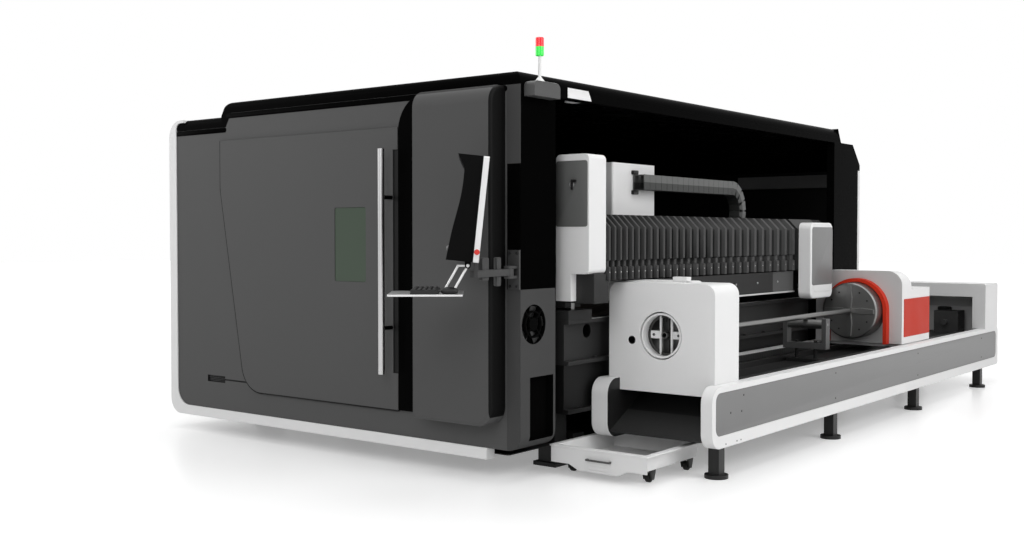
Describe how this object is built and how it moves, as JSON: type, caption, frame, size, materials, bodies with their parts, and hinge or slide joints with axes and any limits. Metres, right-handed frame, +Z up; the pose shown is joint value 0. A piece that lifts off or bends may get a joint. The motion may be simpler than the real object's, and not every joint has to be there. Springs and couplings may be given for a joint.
{
  "type": "laser cutting machine",
  "caption": "Enclosed flat-bed laser cutter with sliding door, swing console, gantry and head, and a long tube-cutting bed with two chucks along one side.",
  "frame": {"origin": "floor under the middle of the machine's box, console and tube bed included", "axes": "+X to the machine's right as seen from the door side, +Y from the door into the depth, +Z up"},
  "size_m": [3.6414, 6.5452, 2.251],
  "materials": {
    "grey_panel": "satin powder coat",
    "black_gloss": "gloss",
    "white_coat": "satin powder coat",
    "dark_frame": "semi-matt",
    "bright_steel": "brushed",
    "chuck_steel": "turned",
    "bellows_cloth": "coated cloth",
    "black_plastic": "matt",
    "aluminium_plate": "brushed",
    "red_paint": "gloss",
    "red_button": "gloss",
    "green_glass": "tinted",
    "lamp_plastic": "translucent",
    "wheel_rubber": "matt"
  },
  "bodies": {
    "machine": {"front_fascia": "grey_panel", "roof": "black_gloss", "roof_side_beam": "black_gloss", "rear_pillar": "black_gloss", "rear_wall": "white_coat", "left_wall": "white_coat", "base_trim": "white_coat", "enclosure_base": "dark_frame", "base_feet": "dark_frame", "side_column": "grey_panel", "control_pillar": "grey_panel", "door_mullion": "black_gloss", "lamp_pole": "white_coat", "lamp_lenses": "lamp_plastic", "console_bracket": "dark_frame", "main_bed": "dark_frame", "bed_legs": "dark_frame", "bed_rails": "bright_steel", "slat_table": "dark_frame", "tube_bed_right": "white_coat", "tube_bed_left": "white_coat", "tube_bed_deck": "dark_frame", "tube_rails": "bright_steel", "tube_bed_feet": "dark_frame", "front_chuck_housing": "white_coat", "scrap_chute": "dark_frame", "support_base": "dark_frame", "end_gate": "white_coat", "end_motor": "dark_frame"},
    "door": {"door_panel": "grey_panel", "door_window": "green_glass", "door_handle": "bright_steel"},
    "gantry": {"gantry_beam": "dark_frame", "gantry_end_box": "white_coat", "gantry_carriages": "dark_frame", "cable_box": "white_coat", "drag_chain": "black_plastic", "bellows_front": "bellows_cloth", "bellows_rear": "bellows_cloth"},
    "head": {"head_carriage": "dark_frame"},
    "head_z": {"head_cover": "white_coat", "cutting_nozzle": "bright_steel"},
    "tube_carriage": {"rear_chuck_housing": "white_coat", "rear_red_trim": "red_paint"},
    "rear_spindle": {"rear_chuck_disc": "chuck_steel", "workpiece_tube": "bright_steel"},
    "front_spindle": {"front_chuck": "chuck_steel"},
    "support_slide": {"support_lift": "dark_frame"},
    "support_drum": {"support_roller": "bright_steel"},
    "trolley": {"scrap_tray": "white_coat"},
    "wheel_1": {"tray_wheel_1": "wheel_rubber"},
    "wheel_2": {"tray_wheel_2": "wheel_rubber"},
    "wheel_3": {"tray_wheel_3": "wheel_rubber"},
    "wheel_4": {"tray_wheel_4": "wheel_rubber"},
    "console": {"console_arm": "dark_frame", "monitor_back": "white_coat", "monitor_hood": "black_gloss"},
    "keyboard_shelf": {"keyboard_tray": "aluminium_plate", "keyboard": "black_plastic"},
    "emergency_stop": {"estop_button": "red_button"}
  },
  "joints": [
    {"name": "door_slide", "type": "slide", "parent": "machine", "child": "door", "axis": [-1, 0, 0], "range_m": [0, 0.43]},
    {"name": "gantry_slide", "type": "slide", "parent": "machine", "child": "gantry", "axis": [-1, 0, 0], "range_m": [0, 2.3]},
    {"name": "head_slide", "type": "slide", "parent": "gantry", "child": "head", "axis": [0, -1, 0], "range_m": [0, 1.5], "deforming": ["bellows_front", "bellows_rear"]},
    {"name": "head_lift", "type": "slide", "parent": "head", "child": "head_z", "axis": [0, 0, 1], "range_m": [0, 0.1]},
    {"name": "tube_carriage_slide", "type": "slide", "parent": "machine", "child": "tube_carriage", "axis": [0, 1, 0], "range_m": [0, 1.1]},
    {"name": "rear_chuck_spin", "type": "hinge", "parent": "tube_carriage", "child": "rear_spindle", "pos_m": [1.41625, 0.88508, 0.716], "axis": [0, 1, 0], "continuous": true},
    {"name": "front_chuck_spin", "type": "hinge", "parent": "machine", "child": "front_spindle", "pos_m": [1.41625, -1.74742, 0.716], "axis": [0, 1, 0], "continuous": true},
    {"name": "support_lift", "type": "slide", "parent": "machine", "child": "support_slide", "axis": [0, 0, -1], "range_m": [0, 0.042]},
    {"name": "support_roller_spin", "type": "hinge", "parent": "support_slide", "child": "support_drum", "pos_m": [1.41625, 0.14258, 0.668], "axis": [1, 0, 0], "continuous": true},
    {"name": "trolley_slide", "type": "slide", "parent": "machine", "child": "trolley", "axis": [0, -1, 0], "range_m": [0, 0.6]},
    {"name": "wheel_1_roll", "type": "hinge", "parent": "trolley", "child": "wheel_1", "pos_m": [1.07525, -2.06542, 0.025], "axis": [1, 0, 0], "continuous": true},
    {"name": "wheel_2_roll", "type": "hinge", "parent": "trolley", "child": "wheel_2", "pos_m": [1.07525, -1.67842, 0.025], "axis": [1, 0, 0], "continuous": true},
    {"name": "wheel_3_roll", "type": "hinge", "parent": "trolley", "child": "wheel_3", "pos_m": [1.53925, -2.06542, 0.025], "axis": [1, 0, 0], "continuous": true},
    {"name": "wheel_4_roll", "type": "hinge", "parent": "trolley", "child": "wheel_4", "pos_m": [1.53925, -1.67842, 0.025], "axis": [1, 0, 0], "continuous": true},
    {"name": "console_swing", "type": "hinge", "parent": "machine", "child": "console", "pos_m": [1.02225, -2.56242, 1.052], "axis": [0, 0, 1], "range_deg": [0, 60]},
    {"name": "keyboard_fold", "type": "hinge", "parent": "console", "child": "keyboard_shelf", "pos_m": [1.03978, -2.89675, 1.111], "axis": [0.6388, -0.7694, 0], "range_deg": [0, 60]},
    {"name": "estop_press", "type": "slide", "parent": "console", "child": "emergency_stop", "axis": [-0.6388, 0.7694, 0], "range_m": [0, 0.006], "stiffness_N_per_m": 800}
  ],
  "couplings": [
    {"joint": "front_chuck_spin", "follows": "rear_chuck_spin", "ratio": 1}
  ]
}
